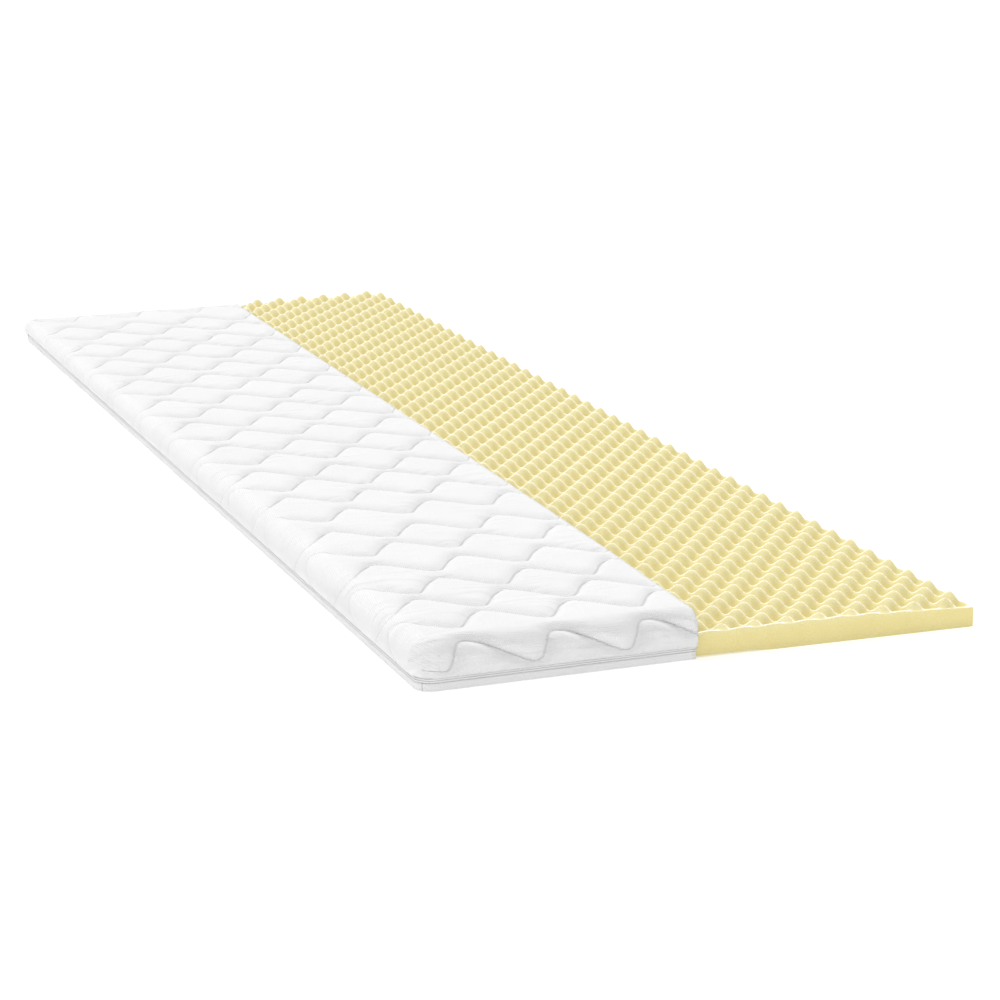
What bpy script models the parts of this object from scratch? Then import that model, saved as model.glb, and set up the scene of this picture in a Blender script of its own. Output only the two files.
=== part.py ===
"""Mattress topper: an egg-crate foam core, half inside a quilted zip cover that is cut open along it.

Units are metres and +Z is up. X runs across the topper and Y along it. The origin is the middle of
the underside. The cover is on the -X half, and the foam is bare from the cut line to +X. The foam is
a little longer than its cover, and its bare half reaches out past the cover's far end.
"""
import math

import bmesh
import bpy
from mathutils import Vector

# Overall size
HALF_WIDTH = 0.350
HALF_LENGTH = 1.018
GAP = 0.0003

# Cover: where it is cut, and its outline at the level of the stitched lines
CUT_X_NEAR = -0.0094
CUT_X_FAR = 0.0334
COVER_LEFT = -0.3454
COVER_NEAR = -1.0134
COVER_FAR = 0.9774
COVER_HEIGHT_NEAR = 0.0532
COVER_HEIGHT_FAR = 0.0278
COVER_SAG_FROM_Y = -0.728
COVER_SAG_POWER = 1.15
COVER_RADIUS_SHARE = 0.32
SEAM_THICKNESS = 0.0030
PUFF = 0.0068
DROP_PUFF_SHARE = 0.65

# Foam core: peaks and hollows on a checkerboard, every other point of a grid of columns and rows
CORE_COLUMNS = 34
CORE_ROWS = 85
CORE_PITCH_X = 0.02065
CORE_PITCH_Y = 0.02395
CORE_TURN = 0.0161
CORE_CORNER_X = 0.3395
CORE_CORNER_Y = -1.0057
CORE_MID = 0.0268
CORE_PEAK = 0.0079
CORE_SIDE_HEIGHT = 0.0236
CORE_LIP_HEIGHT = 0.0298
CORE_LIP_FALLS_FROM_X = 0.20
CORE_EDGE_WAVE = 0.0008
CORE_SHOWN_COLUMN = 17

# Foam core: its sides under the cover, and how it is pressed down and set back there
CORE_LEFT = -0.3375
CORE_NEAR_COVERED = -1.0084
CORE_NEAR_CUT = -1.0092
CORE_FAR_COVERED = 0.9688
CORE_FAR_STEP_X = 0.008
CORE_FAR_STEP = 0.018
CORE_SETBACK_ROWS = 6.0
CORE_PRESS_CLEAR = 0.0008
CORE_PRESS_REACH = 0.021
CORE_PRESS_SLOPE = 0.5
CORE_STEP_HIGH_X = 0.055
CORE_STEP_LOW_X = 0.095

# Quilting: wavy stitched lines across the width, every other one shifted by half a wave, and how far the
# near drop drags the pattern sideways and gathers it for each metre down the cloth
WAVE_LENGTH = 0.1105
WAVE_CREST_X = -0.184
WAVE_HEIGHT = 0.027
WAVE_POINT = 0.05
WAVE_LEAN = 0.23
LINE_PITCH = 0.0790
LINE_CREST_Y = -0.8494
LINE_FIRST = -2
LINE_LAST = 23
LINE_DRIFT_MM = (
    -2, 8, -5, -12, -13, -8, -8, 4, 13, 14, 6, 6, 3,
    3, 3, 3, 3, 5, 4, 3, 2, -3, -8, -10, -10, 0,
)
NECK_SHARE = 0.15
BORDER_PUFF = 0.35
NEAR_DRAG = 0.6
NEAR_GATHER = 1.5

# Mesh of the quilted panel
PANEL_COLUMNS = 17
ROWS_PER_CELL = 3
ROWS_AT_END = 2
TURN_RINGS = 3
DROP_RINGS = 2
CORNER_SPREAD = 0.93

# Zip band and the base panel with its low border
BASE_THICKNESS = 0.0020
BASE_BORDER_TOP = 0.0105
ZIP_BOTTOM = BASE_BORDER_TOP + GAP
ZIP_TOP = 0.0157
ZIP_THICKNESS = 0.0024
ZIP_PROUD = 0.0012
BASE_PROUD = 0.0006
PLAN_RADIUS = 0.012
PLAN_ARC_STEPS = 4
PANEL_BOTTOM = ZIP_TOP + 0.0004

# Zip pull: a small tab on the left side, near the far corner
PULL_LENGTH = 0.016
PULL_HEIGHT = 0.0046
PULL_THICKNESS = 0.0014
PULL_Y = 0.954


def clear_scene():
    """Remove every object of the open file."""
    for thing in list(bpy.data.objects):
        bpy.data.objects.remove(thing, do_unlink=True)


def material(name, colour, roughness):
    """A plain Principled material."""
    mat = bpy.data.materials.new(name)
    mat.use_nodes = True
    shader = mat.node_tree.nodes["Principled BSDF"]
    shader.inputs["Base Color"].default_value = (*colour, 1.0)
    shader.inputs["Roughness"].default_value = roughness
    shader.inputs["Metallic"].default_value = 0.0
    return mat


def add_object(name, bm, mat):
    """Turn a bmesh into a named object with smooth faces."""
    mesh = bpy.data.meshes.new(name)
    bm.to_mesh(mesh)
    bm.free()
    mesh.materials.append(mat)
    mesh.shade_smooth()
    mesh.set_sharp_from_angle(angle=math.radians(50))
    thing = bpy.data.objects.new(name, mesh)
    bpy.context.scene.collection.objects.link(thing)
    return thing


def lerp(low, high, share):
    """The value that lies at a share of the way from low to high."""
    return low + (high - low) * share


def clamp(value):
    """The value kept between 0 and 1."""
    return min(max(value, 0.0), 1.0)


def cut_x(y):
    """X of the straight cut through the cover."""
    return lerp(CUT_X_NEAR, CUT_X_FAR, (y - COVER_NEAR) / (COVER_FAR - COVER_NEAR))


def cover_height(y):
    """Height of the stitched lines: the panel stands off the foam at the near end and sinks to it."""
    share = clamp((y - COVER_SAG_FROM_Y) / (COVER_FAR - COVER_SAG_FROM_Y))
    return lerp(COVER_HEIGHT_NEAR, COVER_HEIGHT_FAR, share ** COVER_SAG_POWER)


def turn_radius(y):
    """Radius of the panel's turn into its drop, larger where the cover is higher."""
    return COVER_RADIUS_SHARE * cover_height(y)


def quilt_line(line, x):
    """Y of one stitched line at x: a leaning wave, drifted a little from its even place."""
    phase = 2 * math.pi * (x - WAVE_CREST_X) / WAVE_LENGTH + math.pi * (line % 2)
    phase -= WAVE_LEAN * (1 - math.cos(phase))
    wave = (math.cos(phase) + WAVE_POINT * math.cos(3 * phase)) / (1 + WAVE_POINT)
    drift = LINE_DRIFT_MM[line - LINE_FIRST] / 1000
    return LINE_CREST_Y + line * LINE_PITCH + drift + WAVE_HEIGHT * (wave - 1)


def quilt_puff(x, y):
    """Height of the filling over the stitched lines at x, y of the unfolded panel."""
    if y < quilt_line(LINE_FIRST, x) or y > quilt_line(LINE_LAST, x):
        return PUFF * BORDER_PUFF
    line = LINE_FIRST
    while quilt_line(line + 1, x) < y - 1e-7 and line + 1 < LINE_LAST:
        line += 1
    low = quilt_line(line, x)
    cell = quilt_line(line + 1, x) - low
    share = clamp((y - low) / cell)
    widest = LINE_PITCH + 2 * WAVE_HEIGHT
    narrowest = LINE_PITCH - 2 * WAVE_HEIGHT
    opening = clamp((cell - narrowest) / (widest - narrowest))
    width = NECK_SHARE + (1 - NECK_SHARE) * opening ** 0.5
    return PUFF * width * (4 * share * (1 - share)) ** 0.6


def index_grid(columns, rows):
    """A grid whose vertices stand at their own column and row numbers."""
    bm = bmesh.new()
    bmesh.ops.create_grid(bm, x_segments=columns, y_segments=rows, size=0.5)
    for vert in bm.verts:
        vert.co.x = round((vert.co.x + 0.5) * columns)
        vert.co.y = round((vert.co.y + 0.5) * rows)
    return bm


def core_lattice(column, row):
    """X and Y on the foam's regular pattern, which is turned a little against the cover."""
    across = (column - CORE_COLUMNS) * CORE_PITCH_X
    along = (row - 1) * CORE_PITCH_Y
    x = CORE_CORNER_X + across * math.cos(CORE_TURN) - along * math.sin(CORE_TURN)
    return x, CORE_CORNER_Y + across * math.sin(CORE_TURN) + along * math.cos(CORE_TURN)


def core_near_side(x):
    """Y of the foam's near side: straight where it is bare, and set back under the cover."""
    if x < CUT_X_NEAR:
        return CORE_NEAR_COVERED
    return lerp(CORE_NEAR_CUT, -HALF_LENGTH, (x - CUT_X_NEAR) / (HALF_WIDTH - CUT_X_NEAR))


def core_far_side(x, free_y):
    """Y of the foam's far side: free where it is bare, and set back under the cover."""
    return lerp(CORE_FAR_COVERED, free_y, clamp((x - CUT_X_FAR - CORE_FAR_STEP_X) / CORE_FAR_STEP))


def core_position(column, row):
    """X and Y of a grid point: the first and last lines are the sides, half a pitch outside the peaks."""
    column = min(max(column, 0.5), CORE_COLUMNS + 0.5)
    row = min(max(row, 0.5), CORE_ROWS + 0.5)
    x, y = core_lattice(column, row)
    if column < CORE_SHOWN_COLUMN:
        shown_x = core_lattice(CORE_SHOWN_COLUMN, row)[0]
        x = lerp(CORE_LEFT, shown_x, (column - 0.5) / (CORE_SHOWN_COLUMN - 0.5))
    first_y = core_lattice(column, 0.5)[1]
    last_y = core_lattice(column, CORE_ROWS + 0.5)[1]
    near_share = clamp(1 - (row - 0.5) / CORE_SETBACK_ROWS)
    far_share = clamp(1 - (CORE_ROWS + 0.5 - row) / CORE_SETBACK_ROWS)
    y += near_share * (core_near_side(x) - first_y)
    y += far_share * (core_far_side(x, last_y) - last_y)
    return x, y


def core_height(column, row):
    """Height of the foam at a grid point: even along the sides, and pressed down by the cover."""
    x, y = core_position(column, row)
    sign = 1 if (column + row) % 2 == 0 else -1
    if row == 0:
        fall = clamp((x - CORE_LIP_FALLS_FROM_X) / (HALF_WIDTH - CORE_LIP_FALLS_FROM_X))
        height = lerp(CORE_LIP_HEIGHT, CORE_SIDE_HEIGHT, fall) - sign * CORE_EDGE_WAVE
    elif column in (0, CORE_COLUMNS + 1) or row == CORE_ROWS + 1:
        height = CORE_SIDE_HEIGHT - sign * CORE_EDGE_WAVE
    else:
        height = CORE_MID + sign * CORE_PEAK
    free = max(x - cut_x(y) - CORE_PRESS_REACH, 0.0) * CORE_PRESS_SLOPE
    return min(height, cover_height(y) - SEAM_THICKNESS - CORE_PRESS_CLEAR + free)


def split_core_faces(bm):
    """Give each bare face a saddle point in its middle, and split covered faces from hollow to hollow."""
    shown = [face for face in bm.faces if face.calc_center_median().x > CORE_SHOWN_COLUMN]
    for face in [face for face in bm.faces if face.calc_center_median().x < CORE_SHOWN_COLUMN]:
        hollows = [vert for vert in face.verts if (round(vert.co.x) + round(vert.co.y)) % 2 == 1]
        bmesh.utils.face_split(face, *hollows)
    return bmesh.ops.poke(bm, faces=shown)["verts"]


def make_foam_core(mat):
    """One slab: peaks on top, plain side walls, and a flat underside that steps up over the base panel."""
    bm = index_grid(CORE_COLUMNS + 1, CORE_ROWS + 1)
    saddles = set(split_core_faces(bm))
    for vert in set(bm.verts) - saddles:
        column = int(vert.co.x)
        row = int(vert.co.y)
        vert.co = (*core_position(column, row), core_height(column, row))
    for vert in saddles:
        corners = [edge.other_vert(vert).co for edge in vert.link_edges]
        vert.co = sum(corners, Vector()) / len(corners)
    rim = [edge for edge in bm.edges if edge.is_boundary]
    wall = bmesh.ops.extrude_edge_only(bm, edges=rim)["geom"]
    foot = [item for item in wall if isinstance(item, bmesh.types.BMVert)]
    for vert in foot:
        vert.co.z = 0.0
    bmesh.ops.contextual_create(bm, geom=[edge for edge in bm.edges if edge.is_boundary])
    for x in (CORE_STEP_HIGH_X, CORE_STEP_LOW_X):
        bottom = [face for face in bm.faces if max(vert.co.z for vert in face.verts) < 1e-6]
        geom = bottom + list({edge for face in bottom for edge in face.edges})
        geom += list({vert for face in bottom for vert in face.verts})
        bmesh.ops.bisect_plane(bm, geom=geom, dist=1e-6, plane_co=(x, 0, 0), plane_no=(1, 0, 0))
    lift = BASE_THICKNESS + GAP
    for vert in bm.verts:
        if vert.co.z < 1e-6:
            share = (CORE_STEP_LOW_X - vert.co.x) / (CORE_STEP_LOW_X - CORE_STEP_HIGH_X)
            vert.co.z = lift * clamp(share)
    bmesh.ops.recalc_face_normals(bm, faces=bm.faces[:])
    return add_object("foam_core", bm, mat)


def panel_rows():
    """Each row of the panel's grid as a pair: the line below it, and its share of the way to the next."""
    rows = [(LINE_FIRST, step / ROWS_AT_END) for step in range(ROWS_AT_END)]
    for line in range(LINE_FIRST + 1, LINE_LAST - 1):
        rows += [(line, step / ROWS_PER_CELL) for step in range(ROWS_PER_CELL)]
    rows += [(LINE_LAST - 1, step / ROWS_AT_END) for step in range(ROWS_AT_END + 1)]
    return rows


def row_bound(line, x):
    """Y of a stitched line on the flat of the panel, or of the turn at either end."""
    if line == LINE_FIRST:
        return COVER_NEAR + turn_radius(COVER_NEAR)
    if line == LINE_LAST:
        return COVER_FAR - turn_radius(COVER_FAR)
    return quilt_line(line, x)


def flat_point(column, row, rows):
    """X and Y of a grid point on the flat of the panel, between the left turn and the cut."""
    line, share = rows[row]
    reach = column / PANEL_COLUMNS
    y = lerp(COVER_NEAR, COVER_FAR, row / (len(rows) - 1))
    for _ in range(3):
        x = lerp(COVER_LEFT + turn_radius(y), cut_x(y), reach)
        y = lerp(row_bound(line, x), row_bound(line + 1, x), share)
    return lerp(COVER_LEFT + turn_radius(y), cut_x(y), reach), y


def ring_drop(ring, height, radius):
    """Angle of the turn, distance down and distance out along the cloth, for one ring of the drop."""
    angle = math.pi / 2 * min(ring / TURN_RINGS, 1.0)
    if ring <= TURN_RINGS:
        return angle, radius * (1 - math.cos(angle)), radius * angle
    share = (ring - TURN_RINGS) / DROP_RINGS
    straight = (height - radius - PANEL_BOTTOM) * share
    return angle, radius + straight, radius * angle + straight


def panel_point(column, row, ring, rows):
    """Place and puff of one point of the panel: on the flat, or on a ring of its three drops."""
    x, y = flat_point(column, row, rows)
    height = cover_height(y)
    radius = turn_radius(y)
    angle, down, out = ring_drop(ring, height, radius)
    side_x = -1 if column == 0 else 0
    side_y = -1 if row == 0 else 1 if row == len(rows) - 1 else 0
    fade = lerp(1.0, DROP_PUFF_SHARE, math.sin(angle))
    if ring > TURN_RINGS:
        fade = lerp(DROP_PUFF_SHARE, BORDER_PUFF, (ring - TURN_RINGS) / DROP_RINGS)
    drag, gather = (NEAR_DRAG, NEAR_GATHER) if side_y == -1 else (0.0, 1.0)
    puff = fade * quilt_puff(x + (side_x - drag) * out, y + side_y * gather * out)
    spread = CORNER_SPREAD if side_x and side_y else 1.0
    reach = (radius + puff) * math.sin(angle) * spread
    z = height - down + puff * math.cos(angle)
    return (x + side_x * reach, y + side_y * reach, z), puff


def make_cover_top(mat):
    """The quilted panel: its flat, and the drops at the near end, the left side and the far end."""
    rows = panel_rows()
    bm = index_grid(PANEL_COLUMNS, len(rows) - 1)
    hem = [edge for edge in bm.edges if edge.is_boundary and not on_cut(edge)]
    for ring in range(1, TURN_RINGS + DROP_RINGS + 1):
        grown = bmesh.ops.extrude_edge_only(bm, edges=hem)["geom"]
        for item in grown:
            if isinstance(item, bmesh.types.BMVert):
                item.co.z = -ring
        hem = [item for item in grown if isinstance(item, bmesh.types.BMEdge)]
    bmesh.ops.recalc_face_normals(bm, faces=bm.faces[:])
    if min(bm.faces, key=lambda face: -face.calc_center_median().z).normal.z < 0:
        bmesh.ops.reverse_faces(bm, faces=bm.faces[:])
    depth = bm.verts.layers.deform.verify()
    for vert in bm.verts:
        column, row, ring = (round(value) for value in vert.co)
        vert.co, puff = panel_point(column, row, -ring, rows)
        vert[depth][0] = (SEAM_THICKNESS + puff) / (SEAM_THICKNESS + PUFF)
    thing = add_object("cover_top", bm, mat)
    thing.vertex_groups.new(name="depth")
    solid = thing.modifiers.new("filling", "SOLIDIFY")
    solid.thickness = SEAM_THICKNESS + PUFF
    solid.offset = -1
    solid.vertex_group = "depth"
    return thing


def on_cut(edge):
    """Whether an edge of the index grid lies along the cut."""
    return all(round(vert.co.x) == PANEL_COLUMNS for vert in edge.verts)


def side_path(proud):
    """Plan of the cover's three sides from the near end of the cut, round two corners, to the far end."""
    left = COVER_LEFT - proud
    near = COVER_NEAR - proud
    points = [(CUT_X_NEAR, near)]
    for step in range(PLAN_ARC_STEPS + 1):
        angle = math.pi / 2 * step / PLAN_ARC_STEPS
        x = left + PLAN_RADIUS * (1 - math.sin(angle))
        points.append((x, near + PLAN_RADIUS * (1 - math.cos(angle))))
    points += [(x, COVER_NEAR + COVER_FAR - y) for x, y in reversed(points[1:])]
    points.append((CUT_X_FAR, COVER_FAR + proud))
    return points


def path_edges(bm, points, z):
    """Vertices and edges of a plan path at one height."""
    verts = [bm.verts.new((x, y, z)) for x, y in points]
    return verts, [bm.edges.new(pair) for pair in zip(verts, verts[1:])]


def raise_wall(bm, edges, height):
    """Extrude a path straight up into a wall."""
    grown = bmesh.ops.extrude_edge_only(bm, edges=edges)["geom"]
    top = [item for item in grown if isinstance(item, bmesh.types.BMVert)]
    bmesh.ops.translate(bm, verts=top, vec=(0, 0, height))


def face_outwards(bm):
    """Turn the faces so that the left side's wall faces -X."""
    bmesh.ops.recalc_face_normals(bm, faces=bm.faces[:])
    left_wall = min(bm.faces, key=lambda face: face.calc_center_median().x)
    if left_wall.normal.x > 0:
        bmesh.ops.reverse_faces(bm, faces=bm.faces[:])


def make_cover_base(mat):
    """The plain base panel, with the low border that rises to the zip on three sides."""
    bm = bmesh.new()
    verts, edges = path_edges(bm, side_path(BASE_PROUD), 0.0)
    raise_wall(bm, edges, BASE_BORDER_TOP)
    bm.faces.new(verts)
    face_outwards(bm)
    thing = add_object("cover_base", bm, mat)
    solid = thing.modifiers.new("cloth", "SOLIDIFY")
    solid.thickness = BASE_THICKNESS
    solid.offset = -1
    solid.use_even_offset = True
    return thing


def make_zip(mat):
    """The closed zip between the panel and the base, a band round three sides."""
    bm = bmesh.new()
    _, edges = path_edges(bm, side_path(ZIP_PROUD), ZIP_BOTTOM)
    raise_wall(bm, edges, ZIP_TOP - ZIP_BOTTOM)
    face_outwards(bm)
    thing = add_object("zip", bm, mat)
    solid = thing.modifiers.new("tape", "SOLIDIFY")
    solid.thickness = ZIP_THICKNESS
    solid.offset = -1
    solid.use_even_offset = True
    return thing


def make_zip_pull(mat):
    """The small tab at the end of the zip, lying flat against it."""
    bm = bmesh.new()
    bmesh.ops.create_cube(bm, size=1.0)
    bmesh.ops.scale(bm, verts=bm.verts[:], vec=(PULL_THICKNESS, PULL_LENGTH, PULL_HEIGHT))
    bmesh.ops.bevel(bm, geom=bm.edges[:], offset=0.0004, segments=1, profile=0.5, affect="EDGES")
    thing = add_object("zip_pull", bm, mat)
    x = COVER_LEFT - ZIP_PROUD - GAP - PULL_THICKNESS / 2
    thing.location = (x, PULL_Y, (ZIP_BOTTOM + ZIP_TOP) / 2)
    return thing


def main():
    """Build every sub-part."""
    clear_scene()
    make_foam_core(material("foam", (0.86, 0.78, 0.46), 0.85))
    make_cover_top(material("quilted_knit", (0.88, 0.88, 0.89), 0.9))
    make_cover_base(material("plain_knit", (0.86, 0.86, 0.87), 0.9))
    make_zip(material("zip_tape", (0.84, 0.84, 0.85), 0.8))
    make_zip_pull(material("zip_tab", (0.82, 0.82, 0.83), 0.7))


main()
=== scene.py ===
"""Looks of a mattress topper: foam core, quilted cover, zip and base, in a plain pale studio.

Units are metres and +Z is up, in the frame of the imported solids: X runs across the topper from the
covered side to the bare foam, and Y along it from the end near the camera to the far end.
"""
import math

import bmesh
import bpy
from mathutils import Matrix, Vector, kdtree, noise


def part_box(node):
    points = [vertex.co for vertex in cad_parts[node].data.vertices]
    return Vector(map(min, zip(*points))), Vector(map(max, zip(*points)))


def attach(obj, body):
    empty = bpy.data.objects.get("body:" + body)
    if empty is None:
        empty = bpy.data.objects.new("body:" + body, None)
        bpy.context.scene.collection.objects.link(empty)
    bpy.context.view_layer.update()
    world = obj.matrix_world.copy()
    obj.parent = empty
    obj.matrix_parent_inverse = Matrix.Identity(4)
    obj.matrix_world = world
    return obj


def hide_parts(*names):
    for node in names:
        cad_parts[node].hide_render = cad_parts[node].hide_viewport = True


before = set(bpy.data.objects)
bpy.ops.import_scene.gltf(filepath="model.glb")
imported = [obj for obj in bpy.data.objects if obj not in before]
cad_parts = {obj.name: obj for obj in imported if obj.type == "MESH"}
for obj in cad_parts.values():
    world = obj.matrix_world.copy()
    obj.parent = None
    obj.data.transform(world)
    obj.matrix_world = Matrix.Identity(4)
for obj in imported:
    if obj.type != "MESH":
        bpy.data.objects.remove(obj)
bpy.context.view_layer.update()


# Studio: a long lens low over the near-left corner, a white floor, and soft light. The sky is an even
# white. One wide lamp hangs far behind the topper and shapes the quilting, and a small one fills the
# near end.
camera_place = (-1.36958, -3.84534, 1.05021)
camera_turn = math.radians(20.348)
camera_dip = math.radians(15.497)
camera_roll = math.radians(-0.166)

camera_data = bpy.data.cameras.new("camera")
camera_data.lens = 103.76
camera_data.sensor_width = 36.0
camera_data.shift_x = 0.05918
camera_data.shift_y = 0.00610
camera_data.clip_end = 200.0
camera = bpy.data.objects.new("camera", camera_data)
bpy.context.scene.collection.objects.link(camera)
camera.matrix_world = (
    Matrix.Translation(camera_place)
    @ Matrix.Rotation(-camera_turn, 4, "Z")
    @ Matrix.Rotation(math.pi / 2 - camera_dip, 4, "X")
    @ Matrix.Rotation(camera_roll, 4, "Z")
)
bpy.context.scene.camera = camera

sky = bpy.data.worlds.new("studio")
sky.use_nodes = True
sky.node_tree.nodes["Background"].inputs["Color"].default_value = (1.0, 1.0, 1.0, 1.0)
sky.node_tree.nodes["Background"].inputs["Strength"].default_value = 0.72
bpy.context.scene.world = sky
bpy.context.scene.view_settings.view_transform = "Standard"


def hang_lamp(name, place, aim, width, power):
    """A square soft lamp at a place, turned to what it lights."""
    lamp = bpy.data.lights.new(name, "AREA")
    lamp.size = width
    lamp.energy = power
    thing = bpy.data.objects.new(name, lamp)
    bpy.context.scene.collection.objects.link(thing)
    thing.location = place
    thing.rotation_euler = (Vector(aim) - Vector(place)).to_track_quat("-Z", "Y").to_euler()


hang_lamp("back_lamp", (-0.5, 18.6, 30.0), (0.0, 0.0, 0.0), 16.0, 9400.0)
hang_lamp("near_lamp", (0.6, -2.9, 3.4), (0.0, -0.9, 0.0), 2.5, 14.0)

floor_size = 60.0
floor_bm = bmesh.new()
bmesh.ops.create_grid(floor_bm, x_segments=1, y_segments=1, size=floor_size / 2)
floor_mesh = bpy.data.meshes.new("floor")
floor_bm.to_mesh(floor_mesh)
floor_bm.free()
floor = bpy.data.objects.new("floor", floor_mesh)
bpy.context.scene.collection.objects.link(floor)
floor_paint = bpy.data.materials.new("floor_paint")
floor_paint.use_nodes = True
floor_shader = floor_paint.node_tree.nodes["Principled BSDF"]
floor_shader.inputs["Base Color"].default_value = (0.95, 0.95, 0.95, 1.0)
floor_shader.inputs["Roughness"].default_value = 0.9
floor_shader.inputs["Emission Color"].default_value = (1.0, 1.0, 1.0, 1.0)
floor_shader.inputs["Emission Strength"].default_value = 0.31
floor_mesh.materials.append(floor_paint)


# Foam slab: one sheet of pale yellow open-cell foam, cut on a profiling machine into a checkerboard of
# round peaks and hollows. Its sides are cut plain, and it lies on the cover's base by its own weight.
core_columns = 34
core_rows = 85
core_pitch_x = 0.02065
core_pitch_y = 0.02395
core_turn = 0.0161
core_corner = (0.3395, -1.0057)
core_saddle = 0.0257
core_peak = 0.0100
core_bowl = 0.0010
core_side = 0.0236
core_shown_column = 17
core_left = -0.3375
core_near_covered = -1.0084
core_near_cut = -1.0092
core_near_right = -1.0180
core_far_covered = 0.9688
core_far_step = (0.004, 0.026)
core_setback_rows = 6.0
core_edge_rise = (0.10, 0.42)
core_lip = ((0.20, 0.0302), (0.35, 0.0238))
core_lip_rows = (0.45, 0.13)
core_lip_wave = 0.0009
core_fine_from = 15
core_fine = 6
core_coarse = 2
core_step_high = 0.055
core_step_low = 0.095
core_step = 0.0023
flat_within = 1e-6
corner_radius = 0.021
cut_near = -0.0094
cut_far = 0.0334
panel_near = -1.0134
panel_far = 0.9774
line_height_near = 0.0532
line_height_far = 0.0300
sag_from_y = -0.728
sag_power = 1.15
seam_thickness = 0.0030
press_clear = 0.0008
press_slope = 1.5


def index_grid(columns, rows):
    """A grid of faces whose vertices stand at their own column and row numbers."""
    bm = bmesh.new()
    bmesh.ops.create_grid(bm, x_segments=columns, y_segments=rows, size=0.5)
    for vert in bm.verts:
        vert.co.x = round((vert.co.x + 0.5) * columns)
        vert.co.y = round((vert.co.y + 0.5) * rows)
    return bm


def lerp(low, high, share):
    """The value that lies at a share of the way from low to high."""
    return low + (high - low) * share


def ramp(low, high, value):
    """0 below low, 1 above high, and a straight rise between them."""
    return min(max((value - low) / (high - low), 0.0), 1.0)


def ease(low, high, value):
    """0 below low, 1 above high, and a smooth rise between them."""
    share = ramp(low, high, value)
    return share * share * (3 - 2 * share)


def round_corner(x, y, left, near, far, radius):
    """Plan position with the two left corners of a rectangle drawn round."""
    side = 1 if y > 0 else -1
    end = far if y > 0 else -near
    across = left + radius - x
    along = side * y - (end - radius)
    if across <= 0 or along <= 0:
        return x, y
    reach = max(across, along)
    a = across / reach
    b = along / reach
    across = reach * a * math.sqrt(1 - b * b / 2)
    along = reach * b * math.sqrt(1 - a * a / 2)
    return left + radius - across, side * (end - radius + along)


def rim_of(bm):
    """The open edges of a mesh."""
    return [edge for edge in bm.edges if edge.is_boundary]


def verts_of(geom):
    """The vertices among what an operator returned."""
    return [item for item in geom if isinstance(item, bmesh.types.BMVert)]


def edges_of(geom):
    """The edges among what an operator returned."""
    return [item for item in geom if isinstance(item, bmesh.types.BMEdge)]


def add_piece(name, bm, material, sharp=50):
    """Turn a bmesh into a smooth object of the scene, riding on the topper."""
    mesh = bpy.data.meshes.new(name)
    bm.to_mesh(mesh)
    bm.free()
    mesh.materials.append(material)
    mesh.shade_smooth()
    mesh.set_sharp_from_angle(angle=math.radians(sharp))
    piece = bpy.data.objects.new(name, mesh)
    bpy.context.scene.collection.objects.link(piece)
    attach(piece, "root")
    return piece


class Wire:
    """A socket of a material's nodes. Arithmetic on it adds Math nodes."""

    def __init__(self, tree, socket=None):
        self.tree = tree
        self.socket = socket

    def node(self, kind, settings=None, inputs=None, output=0):
        """Add a node: its settings first, then the values or wires of its sockets."""
        made = self.tree.nodes.new(kind)
        for name, value in (settings or {}).items():
            setattr(made, name, value)
        for name, value in (inputs or {}).items():
            self.plug(made.inputs[name], value)
        return Wire(self.tree, made.outputs[output])

    def plug(self, socket, value):
        """Link a wire to a socket, or set the socket's own value."""
        if isinstance(value, Wire):
            self.tree.links.new(value.socket, socket)
        else:
            socket.default_value = value

    def maths(self, operation, first, second=0.0):
        """A Math node."""
        return self.node("ShaderNodeMath", {"operation": operation}, {0: first, 1: second})

    def __add__(self, other):
        return self.maths("ADD", self, other)

    def __radd__(self, other):
        return self.maths("ADD", other, self)

    def __sub__(self, other):
        return self.maths("SUBTRACT", self, other)

    def __rsub__(self, other):
        return self.maths("SUBTRACT", other, self)

    def __mul__(self, other):
        return self.maths("MULTIPLY", self, other)

    def __rmul__(self, other):
        return self.maths("MULTIPLY", other, self)

    def sine(self):
        """The sine of the wire's value, in radians."""
        return self.maths("SINE", self)

    def size(self):
        """The value without its sign."""
        return self.maths("ABSOLUTE", self)

    def rise(self, low, high, bottom=0.0, top=1.0):
        """A smooth change from bottom to top while the value goes from low to high."""
        return self.node(
            "ShaderNodeMapRange",
            {"interpolation_type": "SMOOTHSTEP"},
            {"Value": self, "From Min": low, "From Max": high, "To Min": bottom, "To Max": top},
        )

    def axes(self):
        """The three numbers of a vector."""
        parts = self.node("ShaderNodeSeparateXYZ", inputs={"Vector": self}).socket.node
        return [Wire(self.tree, output) for output in parts.outputs]

    def tint(self, first, second):
        """A colour between two colours, by the wire's value."""
        return self.node(
            "ShaderNodeMix",
            {"data_type": "RGBA"},
            {"Factor": self, 6: first, 7: second},
            output=2,
        )

    def grain(self, kind, place, scale, detail=2.0):
        """Noise or cells at so many to the metre, at a place on the piece."""
        if kind == "cells":
            return self.node("ShaderNodeTexVoronoi", inputs={"Vector": place, "Scale": scale})
        return self.node("ShaderNodeTexNoise", inputs={"Vector": place, "Scale": scale, "Detail": detail})

    def relief(self, height, depth, under=None):
        """A bump of real depth in metres, over another bump if one is given."""
        inputs = {"Height": height, "Distance": depth}
        if under is not None:
            inputs["Normal"] = under
        return self.node("ShaderNodeBump", inputs=inputs)


def new_finish(name, roughness):
    """A material, a wire to build its nodes with, and its shader."""
    material = bpy.data.materials.new(name)
    material.use_nodes = True
    shader = material.node_tree.nodes["Principled BSDF"]
    shader.inputs["Roughness"].default_value = roughness
    return material, Wire(material.node_tree), shader


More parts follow.
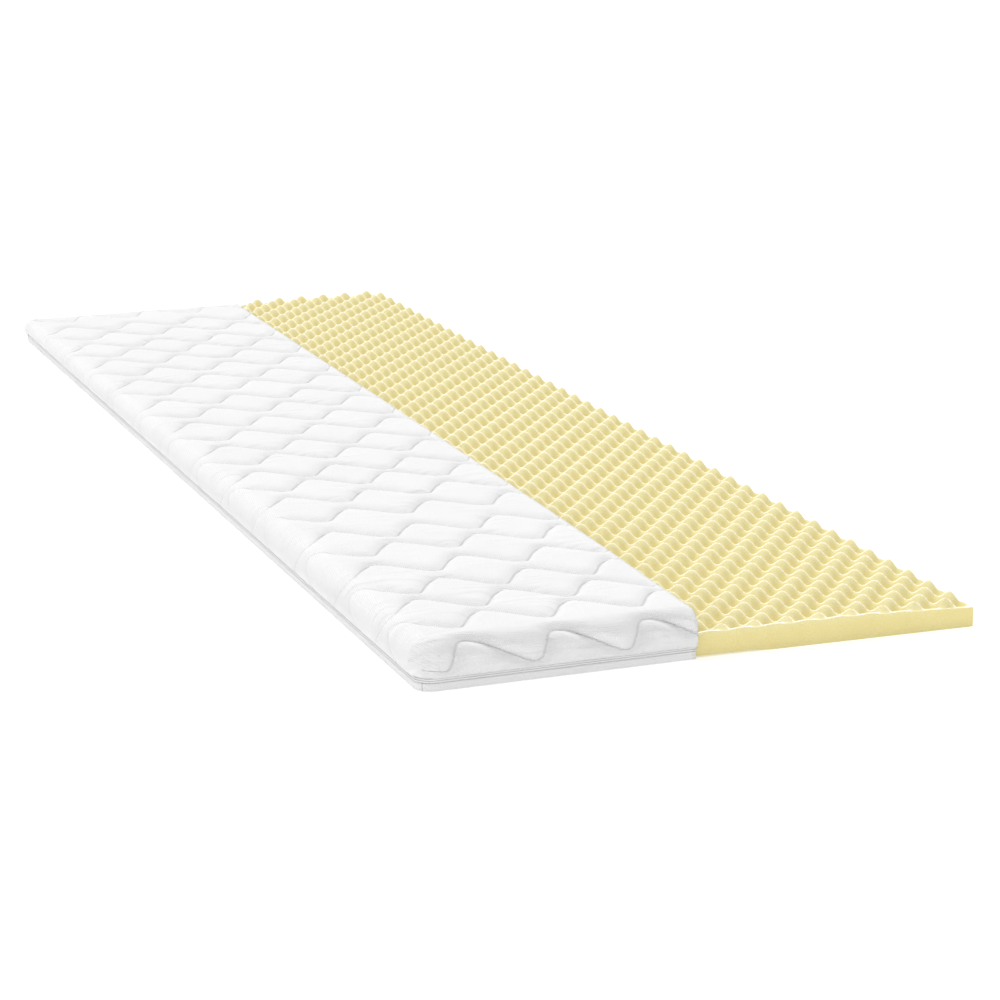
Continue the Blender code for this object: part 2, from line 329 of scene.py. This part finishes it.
foam_finish, wire, shader = new_finish("foam_finish", 0.85)
place = wire.node("ShaderNodeTexCoord", output=3)
height = place.axes()[2]
pores = wire.grain("noise", place, 900.0, 3.0)
cells = wire.grain("cells", place, 520.0)
cloudy = wire.grain("noise", place, 34.0, 3.0)
body_colour = cloudy.rise(0.35, 0.65).tint((0.76, 0.67, 0.315, 1.0), (0.775, 0.695, 0.345, 1.0))
# Painted light: the foam turns paler and less yellow towards the tops of the peaks, a painted highlight on
# the crests over the golden body colour.
crest_painted_light = height.rise(0.020, 0.034).tint(body_colour, (0.765, 0.72, 0.45, 1.0))
wire.plug(shader.inputs["Base Color"], pores.rise(0.30, 0.62).tint((0.73, 0.62, 0.27, 1.0), crest_painted_light))
wire.plug(shader.inputs["Roughness"], pores.rise(0.3, 0.7, 0.78, 0.92))
wire.plug(shader.inputs["Normal"], wire.relief(pores * 0.6 + cells * 0.4, 0.0006))
shader.inputs["Specular IOR Level"].default_value = 0.2
shader.inputs["Sheen Weight"].default_value = 0.2
shader.inputs["Sheen Roughness"].default_value = 0.3
# Painted sheen: where the foam is seen edge-on, a near-white diffuse colour is mixed in, a painted highlight
# along the contour lines of the peaks.
glancing = wire.node("ShaderNodeLayerWeight", inputs={"Blend": 0.5}, output=1)
painted_rim_sheen = wire.node("ShaderNodeBsdfDiffuse", inputs={"Color": (0.90, 0.90, 0.88, 1.0)})
foam_with_painted_sheen = wire.node(
    "ShaderNodeMixShader",
    inputs={0: glancing.rise(0.52, 0.84) * 0.9, 1: Wire(wire.tree, shader.outputs[0]), 2: painted_rim_sheen},
)
wire.plug(foam_finish.node_tree.nodes["Material Output"].inputs["Surface"], foam_with_painted_sheen)


def cut_x(y):
    """X of the straight cut through the cover."""
    return lerp(cut_near, cut_far, (y - panel_near) / (panel_far - panel_near))


def line_height(y):
    """Height of the cover's stitched lines: it stands off the foam at the near end and sinks to it."""
    return lerp(line_height_near, line_height_far, ramp(sag_from_y, panel_far, y) ** sag_power)


def lattice(column, row):
    """X and Y on the foam's regular pattern, which is turned a little against the cover."""
    across = (column - core_columns + 0.5) * core_pitch_x
    along = (row - 0.5) * core_pitch_y
    x = core_corner[0] + across * math.cos(core_turn) - along * math.sin(core_turn)
    return x, core_corner[1] + across * math.sin(core_turn) + along * math.cos(core_turn)


def foam_plan(column, row):
    """X and Y of a point of the foam: regular where it is bare, squeezed and set back under the cover."""
    x, y = lattice(column, row)
    first = core_shown_column - 0.5
    if column < first:
        x = lerp(core_left, lattice(first, row)[0], column / first)
    near_side = core_near_covered
    if x > cut_near:
        near_side = lerp(core_near_cut, core_near_right, (x - cut_near) / (core_corner[0] - cut_near))
    free = lattice(column, core_rows)[1]
    far_side = lerp(core_far_covered, free, ease(cut_far + core_far_step[0], cut_far + core_far_step[1], x))
    y += max(1 - row / core_setback_rows, 0.0) * (near_side - lattice(column, 0)[1])
    y += max(1 - (core_rows - row) / core_setback_rows, 0.0) * (far_side - free)
    return round_corner(x, y, core_left, core_near_covered, core_far_covered, corner_radius)


def foam_height(column, row, x, y):
    """Height of the foam: peaks and hollows, a plain lip at the sides, and pressed down by the cover."""
    wave = math.sin(math.pi * column) * math.sin(math.pi * row)
    height = core_saddle + core_peak * wave - core_bowl * wave * wave
    height = lerp(core_side, height, ease(*core_edge_rise, min(core_columns - column, core_rows - row)))
    (lip_from, lip_high), (lip_to, lip_low) = core_lip
    lip = lerp(lip_high, lip_low, ramp(lip_from, lip_to, x))
    lip -= core_lip_wave * math.cos(math.pi * (column - 0.5)) * ease(lip_to, lip_from, x)
    height = lerp(height, lip, ease(*core_lip_rows, row))
    pressed = line_height(y) - seam_thickness - press_clear
    return min(height, pressed + press_slope * max(x - cut_x(y), 0.0))


foam_marks = [mark / core_coarse for mark in range(core_fine_from * core_coarse)]
fine_marks = (core_columns - core_fine_from) * core_fine
foam_marks += [core_fine_from + mark / core_fine for mark in range(fine_marks + 1)]
foam_bm = index_grid(len(foam_marks) - 1, core_rows * core_fine)
for vert in foam_bm.verts:
    column = foam_marks[int(vert.co.x)]
    row = vert.co.y / core_fine
    x, y = foam_plan(column, row)
    vert.co = (x, y, foam_height(column, row, x, y))
foot = verts_of(bmesh.ops.extrude_edge_only(foam_bm, edges=rim_of(foam_bm))["geom"])
for vert in foot:
    vert.co.z = 0.0
bmesh.ops.contextual_create(foam_bm, geom=rim_of(foam_bm))
for x in (core_step_high, core_step_low):
    bottom = [face for face in foam_bm.faces if max(vert.co.z for vert in face.verts) < flat_within]
    geom = bottom + list({edge for face in bottom for edge in face.edges})
    geom += list({vert for face in bottom for vert in face.verts})
    bmesh.ops.bisect_plane(foam_bm, geom=geom, dist=flat_within, plane_co=(x, 0, 0), plane_no=(1, 0, 0))
for vert in foam_bm.verts:
    if vert.co.z < flat_within:
        vert.co.z = core_step * ramp(core_step_low, core_step_high, vert.co.x)
bmesh.ops.recalc_face_normals(foam_bm, faces=foam_bm.faces[:])
foam_slab = add_piece("foam_slab", foam_bm, foam_finish)
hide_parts("foam_core")


# Quilted panel: white double jersey stitched in wavy lines over a thin fleece, sewn into a box-shaped
# top whose drops end at the zip. It is cut straight along the topper, so the foam's other half is bare.
panel_left = -0.3454
turn_share = 0.32
puff = 0.0077
border_puff = 0.0030
cut_puff = 0.0046
left_puff = 0.6 * puff
far_puff = 0.7 * puff
corner_puff = 0.0010
left_fade = (0.026, -0.008)
cut_fade = 0.012
far_fade = 0.035
corner_fade = 0.010
groove_width = 0.014
groove_share = 0.80
crown_width = 0.026
crown_share = 0.45
no_line_near = 0.05
top_softness = 0.0004
drop_softness = 0.0046
softening_rings = 3
drop_bulge = 0.0012
wrinkle_height = 0.0011
wrinkle_grain = (9.0, 7.0)
streak_grain = (16.0, 88.0)
swell_height = 0.0010
swell_grain = (6.0, 5.0)
wave_length = 0.1105
wave_crest_x = -0.184
wave_height = 0.0242
wave_point = 0.01
wave_lean = 0.25
line_pitch = 0.0790
line_crest_y = -0.8494
line_first = -2
line_last = 23
# How far each line lies from an even spacing, from the near drop to the far end.
line_drift_mm = (0, 8, -5, -13, -14, -7, -12, 8, 13, 16, 2, 9, 1, 4, 2, 4, 1, 8, 2, 3, 3, -2, -12, -7, -13, 2)
near_drag = 0.6
near_gather = 1.5
panel_columns = 92
panel_bottom = 0.0161
turn_rings = 12
drop_rings = 11
row_shares = (0, 0.03, 0.075, 0.135, 0.205, 0.29, 0.39, 0.5, 0.61, 0.71, 0.795, 0.865, 0.925, 0.97)
stitch_length = 0.0045
stitch_fade = 0.003


def stitched_line(line, x):
    """Y of one stitched line at x."""
    phase = 2 * math.pi * (x - wave_crest_x) / wave_length + math.pi * (line % 2)
    phase -= wave_lean * (1 - math.cos(phase))
    wave = (math.cos(phase) + wave_point * math.cos(3 * phase)) / (1 + wave_point)
    drift = line_drift_mm[min(max(line, line_first), line_last) - line_first] / 1000
    return line_crest_y + line * line_pitch + drift + wave_height * (wave - 1)


line_step = 0.002
line_samples = [panel_left - 0.08 + line_step * step for step in range(260)]
line_trees = {}
line_runs = {}
for line in range(line_first, line_last + 1):
    tree = kdtree.KDTree(len(line_samples))
    run = 0.0
    runs = []
    last = None
    for index, x in enumerate(line_samples):
        spot = Vector((x, stitched_line(line, x), 0.0))
        run += (spot - last).length if last else 0.0
        last = spot
        runs.append(run)
        tree.insert(spot, index)
    tree.balance()
    line_trees[line] = tree
    line_runs[line] = runs


def off_line(line, x, y):
    """Distance from a stitched line, positive on its far side, and the run along it."""
    spot, index, _ = line_trees[line].find((x, y, 0.0))
    ahead = Vector((line_step, stitched_line(line, spot.x + line_step) - spot.y, 0.0)).normalized()
    offset = Vector((x, y, 0.0)) - spot
    return ahead.x * offset.y - ahead.y * offset.x, line_runs[line][index] + ahead.dot(offset)


def cell_of(x, y):
    """The stitched line on the near side of a point, or one before the first if there is none."""
    line = min(int((y - line_crest_y) / line_pitch) + 2, line_last)
    while line >= line_first and stitched_line(line, x) > y:
        line -= 1
    return max(line, line_first - 1)


def filling(x, y, softness):
    """How far the filling lifts the cloth over the stitched lines, at x, y of the unfolded panel."""
    line = cell_of(x, y)
    near = abs(off_line(line, x, y)[0]) if line >= line_first else no_line_near
    far = abs(off_line(line + 1, x, y)[0]) if line < line_last else no_line_near
    near = math.hypot(near, softness) - softness
    far = math.hypot(far, softness) - softness
    groove = (1 - max(1 - near / groove_width, 0.0) ** 2) * (1 - max(1 - far / groove_width, 0.0) ** 2)
    crown = (1 - math.exp(-near / crown_width)) * (1 - math.exp(-far / crown_width))
    return puff * (groove_share * groove + crown_share * crown)


def creasing(x, y):
    """Small soft wrinkles that the stitching gathers into the cloth, strongest by the left edge."""
    strength = lerp(0.25, 1.0, ease(-0.20, -0.33, x))
    patch = noise.noise(Vector((x * wrinkle_grain[0], y * wrinkle_grain[1], 3.0)))
    streak = noise.noise(Vector((x * streak_grain[0] + 2.0 * y, y * streak_grain[1] + 1.5 * x, 9.0)))
    return wrinkle_height * strength * ease(-0.25, 0.35, patch) * streak


def swell(x, y):
    """Slow unevenness of the whole panel."""
    return swell_height * noise.noise(Vector((x * swell_grain[0], y * swell_grain[1], 17.0)))


knit_finish, wire, shader = new_finish("knit_finish", 0.92)
weft = wire.node("ShaderNodeUVMap", {"uv_map": "cloth"})
seam = wire.node("ShaderNodeUVMap", {"uv_map": "stitching"})
run, off, _ = seam.axes()
across, along, _ = weft.axes()
wander = wire.grain("noise", weft, 320.0, 2.0)
rib_one = ((across * 1.0 + along * 0.62) * 1900.0 + wander * 2.0).sine()
rib_two = ((across * -0.86 + along * 1.05) * 1500.0 + wander * 2.0).sine()
pebble = rib_one * rib_two
hairs = wire.grain("noise", weft, 700.0, 3.0)
streaks = wire.node("ShaderNodeCombineXYZ", inputs={"X": across * 0.16, "Y": along + across * 0.10})
wrinkled_patches = wire.grain("noise", weft, 16.0).rise(0.42, 0.66)
wrinkles = wire.grain("noise", streaks, 80.0, 1.0).rise(0.30, 0.70) * wrinkled_patches
near_line = off.size()
crease = near_line.rise(0.0, 0.0022)
on_line = near_line.rise(0.0004, 0.0012, 1.0, 0.0)
stitches = (run * (2 * math.pi / stitch_length)).sine().rise(-0.3, 0.3) * on_line
soil = wire.grain("noise", weft, 9.0, 3.0)
base = soil.rise(0.3, 0.7).tint((0.775, 0.775, 0.775, 1.0), (0.80, 0.80, 0.80, 1.0))
knitted = (pebble * 0.5 + 0.5).rise(0.0, 0.55).tint((0.72, 0.72, 0.725, 1.0), base)
# Painted shade: the cloth is drawn darker within about 2 mm of each stitched line, where the groove falls
# into shade.
painted_crease_shade = crease.tint((0.62, 0.62, 0.625, 1.0), knitted)
wire.plug(shader.inputs["Base Color"], (stitches * 0.3).tint(painted_crease_shade, (0.80, 0.80, 0.80, 1.0)))
wrinkle_relief = wire.relief(wrinkles, 0.0013)
knit_relief = wire.relief(pebble * 0.7 + hairs * 0.3, 0.00045, wrinkle_relief)
crease_relief = wire.relief(crease, 0.0006, knit_relief)
wire.plug(shader.inputs["Normal"], wire.relief(stitches, 0.0001, crease_relief))
shader.inputs["Sheen Weight"].default_value = 0.2
shader.inputs["Sheen Roughness"].default_value = 0.6
shader.inputs["Specular IOR Level"].default_value = 0.15

panel_rows = [(line, share) for line in range(line_first, line_last) for share in row_shares]
panel_rows.append((line_last - 1, 1.0))


def turn_radius(y):
    """Radius of the panel's turn into its drop, larger where the cover is higher."""
    return turn_share * line_height(y)


def row_bound(line, x):
    """Y of a stitched line on the flat of the panel, or of the turn at either end."""
    if line == line_first:
        return panel_near + turn_radius(panel_near)
    if line == line_last:
        return panel_far - turn_radius(panel_far)
    return stitched_line(line, x)


def flat_point(column, row):
    """X and Y of a grid point on the flat of the panel, between the left turn and the cut."""
    line, share = panel_rows[row]
    reach = column / panel_columns
    y = lerp(panel_near, panel_far, row / (len(panel_rows) - 1))
    for _ in range(3):
        x = lerp(panel_left + turn_radius(y), cut_x(y), reach)
        y = lerp(row_bound(line, x), row_bound(line + 1, x), share)
    return lerp(panel_left + turn_radius(y), cut_x(y), reach), y


def ring_drop(ring, height, radius):
    """Angle of the turn, distance down and distance out along the cloth, for one ring of the drop."""
    angle = math.pi / 2 * min(ring / turn_rings, 1.0)
    if ring <= turn_rings:
        return angle, radius * (1 - math.cos(angle)), radius * angle
    share = (ring - turn_rings) / drop_rings
    straight = (height - radius - panel_bottom) * share
    return angle, radius + straight, radius * angle + straight


def unfold(x, y, out, side):
    """Place on the unfolded cloth: the near drop drags the pattern aside and gathers it."""
    if side == "near":
        return x - near_drag * out, y - near_gather * out
    if side == "far":
        return x, y + out
    return (x - out, y) if side == "left" else (x, y)


def panel_point(column, row, ring):
    """Place of one point of the panel, and its puff."""
    x, y = flat_point(column, row)
    height = line_height(y)
    radius = turn_radius(y)
    angle, down, out = ring_drop(ring, height, radius)
    side_x = -1 if column == 0 else 0
    side_y = -1 if row == 0 else 1 if row == len(panel_rows) - 1 else 0
    side = {-1: "near", 1: "far"}.get(side_y, "left" if side_x else "flat")
    flat_x, flat_y = unfold(x, y, out, side)
    share = max(ring - turn_rings, 0) / drop_rings
    softness = lerp(top_softness, drop_softness, min(ring / softening_rings, 1.0))
    lift = filling(flat_x, flat_y, softness)
    inward = x - panel_left - radius - (out if side == "left" else 0.0)
    lift = lerp(lift, left_puff, 0.85 * ease(*left_fade, inward))
    if side_x and side_y:
        lift = lerp(lift, corner_puff, ease(0.0, corner_fade, out))
    lift = lerp(lift, border_puff, share ** 1.5)
    lift = lerp(cut_puff, lift, ease(0.0, cut_fade, cut_x(y) - x))
    lift = lerp(far_puff, lift, ease(0.0, far_fade, panel_far - radius - y))
    lift += (creasing(flat_x, flat_y) + swell(flat_x, flat_y)) * (1 - share)
    bulge = drop_bulge * math.sin(math.pi * share)
    reach = (radius + lift + bulge) * math.sin(angle)
    z = height - down + lift * math.cos(angle)
    x += side_x * reach
    y += side_y * reach
    x, y = round_corner(x, y, panel_left, panel_near, panel_far, corner_radius)
    return (x, y, z), lift


panel_bm = index_grid(panel_columns, len(panel_rows) - 1)
hem = [edge for edge in rim_of(panel_bm) if not all(vert.co.x > panel_columns - 0.5 for vert in edge.verts)]
for ring in range(1, turn_rings + drop_rings + 1):
    grown = bmesh.ops.extrude_edge_only(panel_bm, edges=hem)["geom"]
    for vert in verts_of(grown):
        vert.co.z = -ring
    hem = edges_of(grown)
bmesh.ops.recalc_face_normals(panel_bm, faces=panel_bm.faces[:])
if max(panel_bm.faces, key=lambda face: face.calc_center_median().z).normal.z < 0:
    bmesh.ops.reverse_faces(panel_bm, faces=panel_bm.faces[:])
depth = panel_bm.verts.layers.deform.verify()
cloth_map = panel_bm.loops.layers.uv.new("cloth")
seam_map = panel_bm.loops.layers.uv.new("stitching")
marks = {}
for vert in panel_bm.verts:
    column, row, ring = (round(value) for value in vert.co)
    marks[vert] = (column, row, -ring)
    vert.co, lift = panel_point(column, row, -ring)
    vert[depth][0] = (seam_thickness + lift) / (seam_thickness + 2 * puff)


def face_side(face):
    """Which drop a face of the panel belongs to."""
    rows = {marks[vert][1] for vert in face.verts}
    if max(marks[vert][2] for vert in face.verts) == 0:
        return "flat"
    if rows == {0}:
        return "near"
    return "far" if rows == {len(panel_rows) - 1} else "left"


for face in panel_bm.faces:
    side = face_side(face)
    unfolded = {}
    fading = {}
    for vert in face.verts:
        column, row, ring = marks[vert]
        x, y = flat_point(column, row)
        out = ring_drop(ring, line_height(y), turn_radius(y))[2]
        unfolded[vert] = unfold(x, y, out, side)
        fading[vert] = stitch_fade * ease(0.0, 0.012, out) if side == "left" else 0.0
    middle = sum((Vector(spot) for spot in unfolded.values()), Vector((0.0, 0.0))) / len(face.verts)
    line = cell_of(middle.x, middle.y)
    if line < line_first:
        line = line_first
    elif line < line_last and abs(off_line(line + 1, *middle)[0]) < abs(off_line(line, *middle)[0]):
        line += 1
    for loop in face.loops:
        x, y = unfolded[loop.vert]
        loop[cloth_map].uv = (x, y)
        off, run = off_line(line, x, y)
        loop[seam_map].uv = (run, off + math.copysign(fading[loop.vert], off))
quilted_panel = add_piece("quilted_panel", panel_bm, knit_finish)
quilted_panel.vertex_groups.new(name="depth")
fleece = quilted_panel.modifiers.new("fleece", "SOLIDIFY")
fleece.thickness = seam_thickness + 2 * puff
fleece.offset = -1
fleece.vertex_group = "depth"
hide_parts("cover_top")


# Base and border: the plain jersey underside of the cover, 2 mm thick, turned up into a low border that
# is sewn to the zip. It is cut off along the same line as the panel.
base_thickness = 0.0020
border_top = 0.0105
plan_steps = 12
side_step = 0.008


def side_path(proud):
    """Plan of the cover's three sides from the near end of the cut, round two corners, to the far end."""
    left = panel_left - proud
    near = panel_near - proud
    middle = (panel_near + panel_far) / 2
    radius = corner_radius
    near_run = int((cut_near - left - radius) / side_step)
    left_run = int((middle - near - radius) / side_step)
    points = [(lerp(cut_near, left + radius, step / near_run), near) for step in range(near_run)]
    for step in range(plan_steps + 1):
        angle = math.pi / 2 * step / plan_steps
        points.append((left + radius * (1 - math.sin(angle)), near + radius * (1 - math.cos(angle))))
    points += [(left, lerp(near + radius, middle, step / left_run)) for step in range(1, left_run)]
    mirrored = [(x, 2 * middle - y) for x, y in reversed(points)]
    far_x = left + radius
    stretch = (cut_far - far_x) / (cut_near - far_x)
    mirrored = [(far_x + (x - far_x) * stretch if x > far_x else x, y) for x, y in mirrored]
    return points + [(left, middle)] + mirrored


def raise_band(bm, levels):
    """A wall that follows the cover's sides, through levels of (height, how proud it stands)."""
    z, proud = levels[0]
    order = bm.verts.layers.int.new("order")
    verts = [bm.verts.new((x, y, z)) for x, y in side_path(proud)]
    for index, vert in enumerate(verts):
        vert[order] = index
    edges = [bm.edges.new(pair) for pair in zip(verts, verts[1:])]
    for z, proud in levels[1:]:
        path = side_path(proud)
        grown = bmesh.ops.extrude_edge_only(bm, edges=edges)["geom"]
        for vert in verts_of(grown):
            vert.co = (*path[vert[order]], z)
        edges = edges_of(grown)
    return verts


def face_outwards(bm):
    """Turn the faces so that the wall on the left side faces -X."""
    bmesh.ops.recalc_face_normals(bm, faces=bm.faces[:])
    wall = [face for face in bm.faces if abs(face.normal.x) > 0.7]
    if min(wall, key=lambda face: face.calc_center_median().x).normal.x > 0:
        bmesh.ops.reverse_faces(bm, faces=bm.faces[:])


jersey_finish, wire, shader = new_finish("jersey_finish", 0.92)
place = wire.node("ShaderNodeTexCoord", output=3)
across, along, up = place.axes()
wander = wire.grain("noise", place, 320.0, 2.0)
rib_one = ((across + along + up * 0.62) * 2100.0 + wander * 5.0).sine()
rib_two = ((across * -0.86 - along * 0.86 + up * 1.05) * 1700.0 + wander * 5.0).sine()
pebble = rib_one * rib_two
soil = wire.grain("noise", place, 12.0, 3.0)
base = soil.rise(0.3, 0.7).tint((0.80, 0.80, 0.80, 1.0), (0.82, 0.82, 0.82, 1.0))
knitted = (pebble * 0.5 + 0.5).rise(0.0, 0.55).tint((0.74, 0.74, 0.745, 1.0), base)
from_corner = ((across - panel_left) - (along - panel_near)).size()
joined = from_corner.rise(0.0003, 0.0011) + along.rise(-0.98, -0.97)
wire.plug(shader.inputs["Base Color"], joined.tint((0.45, 0.45, 0.45, 1.0), knitted))
wire.plug(shader.inputs["Normal"], wire.relief(pebble, 0.0002))
shader.inputs["Sheen Weight"].default_value = 0.2
shader.inputs["Sheen Roughness"].default_value = 0.6
shader.inputs["Specular IOR Level"].default_value = 0.15

base_bm = bmesh.new()
bottom = raise_band(
    base_bm,
    [
        (0.0, -0.0018),
        (0.0004, -0.0006),
        (0.0016, 0.0003),
        (0.0045, 0.0009),
        (0.0080, 0.0009),
        (border_top, 0.0007),
    ],
)
base_bm.faces.new(bottom)
face_outwards(base_bm)
base_cloth = add_piece("base_cloth", base_bm, jersey_finish)
cloth = base_cloth.modifiers.new("cloth", "SOLIDIFY")
cloth.thickness = base_thickness
cloth.offset = -1
cloth.use_even_offset = True
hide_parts("cover_base")


# Zip: a closed coil zip in woven tape, sewn between the panel and the border on three sides. Each tape is
# folded back on itself, so two narrow ribs show, and the coil is hidden in the groove between them.
zip_bottom = 0.0108
zip_top = 0.0157
zip_thickness = 0.0024

tape_finish, wire, shader = new_finish("tape_finish", 0.8)
place = wire.node("ShaderNodeTexCoord", output=3)
across, along, up = place.axes()
twill = ((across + along) * 5200.0 + up * 5200.0).sine()
# Painted shade: the tape is drawn darker in the narrow groove between the two ribs, where shade falls.
painted_groove_shade = ((up - (zip_bottom + zip_top) / 2).size()).rise(0.0, 0.0009)
wire.plug(shader.inputs["Base Color"], painted_groove_shade.tint((0.68, 0.68, 0.685, 1.0), (0.82, 0.82, 0.82, 1.0)))
wire.plug(shader.inputs["Normal"], wire.relief(twill, 0.0001))
shader.inputs["Specular IOR Level"].default_value = 0.2

zip_bm = bmesh.new()
raise_band(
    zip_bm,
    [
        (zip_bottom, 0.0008),
        (zip_bottom + 0.0003, 0.0013),
        (zip_bottom + 0.0012, 0.0016),
        (zip_bottom + 0.0020, 0.0013),
        (zip_bottom + 0.0025, 0.0006),
        (zip_bottom + 0.0030, 0.0013),
        (zip_bottom + 0.0038, 0.0016),
        (zip_bottom + 0.0046, 0.0013),
        (zip_top, 0.0008),
    ],
)
face_outwards(zip_bm)
zip_band = add_piece("zip_band", zip_bm, tape_finish)
tape = zip_band.modifiers.new("tape", "SOLIDIFY")
tape.thickness = zip_thickness
tape.offset = -1
tape.use_even_offset = True
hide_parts("zip")


# Zip tab: the small hard tab of the zip's slider, painted white. It hangs flat against the band near the
# far-left corner, where the zip ends.
tab_finish, wire, shader = new_finish("tab_finish", 0.45)
place = wire.node("ShaderNodeTexCoord", output=3)
scuffs = wire.grain("noise", place, 700.0, 2.0)
tab_colour = scuffs.rise(0.3, 0.7).tint((0.74, 0.74, 0.75, 1.0), (0.80, 0.80, 0.81, 1.0))
wire.plug(shader.inputs["Base Color"], tab_colour)
wire.plug(shader.inputs["Roughness"], scuffs.rise(0.3, 0.7, 0.38, 0.55))
wire.plug(shader.inputs["Normal"], wire.relief(scuffs, 0.00005))

tab_low, tab_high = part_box("zip_pull")
tab_bm = bmesh.new()
bmesh.ops.create_cube(tab_bm, size=1.0)
bmesh.ops.scale(tab_bm, verts=tab_bm.verts[:], vec=tab_high - tab_low)
bmesh.ops.translate(tab_bm, verts=tab_bm.verts[:], vec=(tab_high + tab_low) / 2)
upright = [edge for edge in tab_bm.edges if abs(edge.verts[0].co.x - edge.verts[1].co.x) > 0.001]
bmesh.ops.bevel(
    tab_bm,
    geom=upright,
    offset=0.0018,
    offset_type="OFFSET",
    segments=5,
    profile=0.5,
    affect="EDGES",
    material=-1,
)
front = [face for face in tab_bm.faces if face.normal.x < -0.9]
bmesh.ops.inset_region(tab_bm, faces=front, thickness=0.0009, depth=-0.0003)
bmesh.ops.bevel(
    tab_bm,
    geom=[edge for edge in tab_bm.edges if edge.calc_face_angle(0.0) > 0.8],
    offset=0.0002,
    offset_type="OFFSET",
    segments=2,
    profile=0.5,
    affect="EDGES",
    material=-1,
)
zip_tab = add_piece("zip_tab", tab_bm, tab_finish, sharp=35)
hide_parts("zip_pull")
